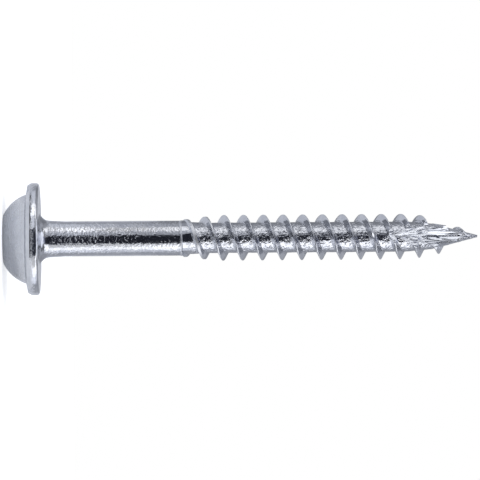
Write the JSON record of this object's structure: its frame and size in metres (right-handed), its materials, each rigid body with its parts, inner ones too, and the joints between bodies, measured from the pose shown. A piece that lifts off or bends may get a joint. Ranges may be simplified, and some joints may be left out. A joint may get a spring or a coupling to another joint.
{
  "type": "pocket hole screw",
  "caption": "Washer-head screw that draws two boards together from a slanted pocket hole, with a plain shank, a coarse thread and a slashed point.",
  "frame": {"origin": "middle of the flat top of the head, which the screw stands on", "axes": "+Z along the shank from the head to the point; +X and +Y square to it, along the flats of the drive recess"},
  "size_m": [0.0112, 0.0112, 0.0481],
  "materials": {
    "zinc_plated_steel": "bright zinc plating over cold-formed steel, slightly pitted"
  },
  "bodies": {
    "root": {"screw": "zinc_plated_steel"}
  },
  "joints": []
}
